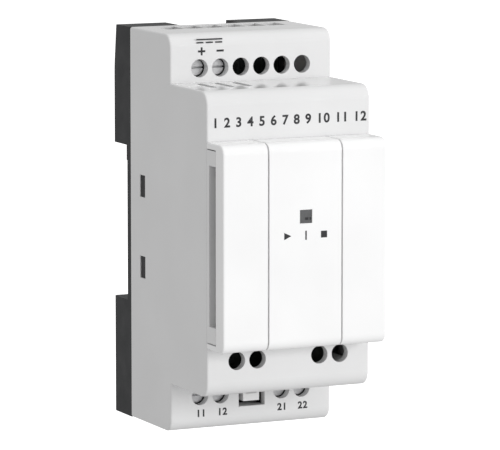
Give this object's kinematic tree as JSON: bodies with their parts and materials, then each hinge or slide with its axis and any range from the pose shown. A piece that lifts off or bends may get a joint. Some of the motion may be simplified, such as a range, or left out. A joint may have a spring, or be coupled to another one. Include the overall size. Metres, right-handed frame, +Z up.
{
  "type": "controller module",
  "caption": "Stepped controller module that clips on a top-hat rail, with screw terminals along top and bottom and a nose of lift-off port covers.",
  "frame": {"origin": "on the rail's centreline, in the plane of the front face of the rail's lips, at mid-width", "axes": "+X along the rail, to the right seen from the front; +Y towards the wall; +Z up"},
  "size_m": [0.04, 0.0603, 0.09],
  "materials": {
    "shell_grey": "fine satin moulded ABS",
    "nose_white": "fine satin moulded ABS",
    "base_black": "moulded polyamide",
    "slide_black": "moulded polyamide",
    "smoke_lens": "smoky clear acrylic",
    "led_body": "clear resin",
    "board_dark": "black solder mask",
    "zinc_steel": "zinc plated",
    "connector_black": "glass-filled nylon",
    "gold_contact": "gold flash",
    "terminal_black": "glass-filled nylon",
    "tinned_copper": "tin plated",
    "socket_white": "natural nylon",
    "chip_black": "moulded epoxy",
    "capacitor_can": "drawn can",
    "ferrite": "pressed ferrite",
    "fuse_ochre": "dipped epoxy",
    "resistor_tan": "dipped lacquer",
    "crystal_steel": "drawn steel can",
    "screw_steel": "nickel plated",
    "clamp_steel": "zinc plated"
  },
  "bodies": {
    "housing": {"housing_shell": "shell_grey", "rear_base": "base_black", "front_plate": "nose_white", "status_light_guide": "smoke_lens", "status_leds": "led_body", "main_board": "board_dark", "logic_board": "board_dark", "board_screws": "zinc_steel", "link_header": "connector_black", "link_socket": "connector_black", "link_pins": "gold_contact", "power_terminal_block": "terminal_black", "line_terminal_block": "terminal_black", "termination_terminal_block": "terminal_black", "contact_bars": "tinned_copper", "service_socket": "socket_white", "service_pins": "gold_contact", "left_bus_socket": "connector_black", "right_bus_socket": "connector_black", "bus_contacts": "gold_contact", "microcontroller": "chip_black", "line_transceiver": "chip_black", "optocouplers": "chip_black", "isolated_converter": "chip_black", "bulk_capacitors": "capacitor_can", "power_inductor": "ferrite", "resettable_fuse": "fuse_ochre", "surge_diodes": "chip_black", "termination_resistor": "resistor_tan", "crystal": "crystal_steel"},
    "left_port_cover": {"left_port_cover": "nose_white"},
    "right_port_cover": {"right_port_cover": "nose_white"},
    "upper_mounting_slide": {"upper_mounting_slide": "slide_black"},
    "lower_mounting_slide": {"lower_mounting_slide": "slide_black"},
    "power_plus_screw": {"power_plus_screw": "screw_steel"},
    "power_plus_clamp": {"power_plus_clamp": "clamp_steel"},
    "power_minus_screw": {"power_minus_screw": "screw_steel"},
    "power_minus_clamp": {"power_minus_clamp": "clamp_steel"},
    "line_a_screw": {"line_a_screw": "screw_steel"},
    "line_a_clamp": {"line_a_clamp": "clamp_steel"},
    "line_b_screw": {"line_b_screw": "screw_steel"},
    "line_b_clamp": {"line_b_clamp": "clamp_steel"},
    "termination_one_screw": {"termination_one_screw": "screw_steel"},
    "termination_one_clamp": {"termination_one_clamp": "clamp_steel"},
    "termination_two_screw": {"termination_two_screw": "screw_steel"},
    "termination_two_clamp": {"termination_two_clamp": "clamp_steel"}
  },
  "joints": [
    {"name": "left_port_cover_lift", "type": "slide", "parent": "housing", "child": "left_port_cover", "axis": [0, -1, 0], "range_m": [0, 0.015]},
    {"name": "right_port_cover_lift", "type": "slide", "parent": "housing", "child": "right_port_cover", "axis": [0, -1, 0], "range_m": [0, 0.015]},
    {"name": "upper_slide_travel", "type": "slide", "parent": "housing", "child": "upper_mounting_slide", "axis": [0, 0, 1], "range_m": [0, 0.0108]},
    {"name": "lower_slide_travel", "type": "slide", "parent": "housing", "child": "lower_mounting_slide", "axis": [0, 0, -1], "range_m": [0, 0.0108]},
    {"name": "power_plus_screw_turn", "type": "hinge", "parent": "housing", "child": "power_plus_screw", "pos_m": [-0.0127, -0.0205, 0.0372], "axis": [0, 1, 0], "range_deg": [0, 3240]},
    {"name": "power_plus_clamp_rise", "type": "slide", "parent": "housing", "child": "power_plus_clamp", "axis": [0, -1, 0], "range_m": [0, 0.0045]},
    {"name": "power_minus_screw_turn", "type": "hinge", "parent": "housing", "child": "power_minus_screw", "pos_m": [-0.00762, -0.0205, 0.0372], "axis": [0, 1, 0], "range_deg": [0, 3240]},
    {"name": "power_minus_clamp_rise", "type": "slide", "parent": "housing", "child": "power_minus_clamp", "axis": [0, -1, 0], "range_m": [0, 0.0045]},
    {"name": "line_a_screw_turn", "type": "hinge", "parent": "housing", "child": "line_a_screw", "pos_m": [-0.0127, -0.0205, -0.0372], "axis": [0, 1, 0], "range_deg": [0, 3240]},
    {"name": "line_a_clamp_rise", "type": "slide", "parent": "housing", "child": "line_a_clamp", "axis": [0, -1, 0], "range_m": [0, 0.0045]},
    {"name": "line_b_screw_turn", "type": "hinge", "parent": "housing", "child": "line_b_screw", "pos_m": [-0.00762, -0.0205, -0.0372], "axis": [0, 1, 0], "range_deg": [0, 3240]},
    {"name": "line_b_clamp_rise", "type": "slide", "parent": "housing", "child": "line_b_clamp", "axis": [0, -1, 0], "range_m": [0, 0.0045]},
    {"name": "termination_one_screw_turn", "type": "hinge", "parent": "housing", "child": "termination_one_screw", "pos_m": [0.00762, -0.0205, -0.0372], "axis": [0, 1, 0], "range_deg": [0, 3240]},
    {"name": "termination_one_clamp_rise", "type": "slide", "parent": "housing", "child": "termination_one_clamp", "axis": [0, -1, 0], "range_m": [0, 0.0045]},
    {"name": "termination_two_screw_turn", "type": "hinge", "parent": "housing", "child": "termination_two_screw", "pos_m": [0.0127, -0.0205, -0.0372], "axis": [0, 1, 0], "range_deg": [0, 3240]},
    {"name": "termination_two_clamp_rise", "type": "slide", "parent": "housing", "child": "termination_two_clamp", "axis": [0, -1, 0], "range_m": [0, 0.0045]}
  ],
  "couplings": [
    {"joint": "power_plus_screw_turn", "follows": "power_plus_clamp_rise", "rad_per_m": 12566},
    {"joint": "power_minus_screw_turn", "follows": "power_minus_clamp_rise", "rad_per_m": 12566},
    {"joint": "line_a_screw_turn", "follows": "line_a_clamp_rise", "rad_per_m": 12566},
    {"joint": "line_b_screw_turn", "follows": "line_b_clamp_rise", "rad_per_m": 12566},
    {"joint": "termination_one_screw_turn", "follows": "termination_one_clamp_rise", "rad_per_m": 12566},
    {"joint": "termination_two_screw_turn", "follows": "termination_two_clamp_rise", "rad_per_m": 12566}
  ]
}
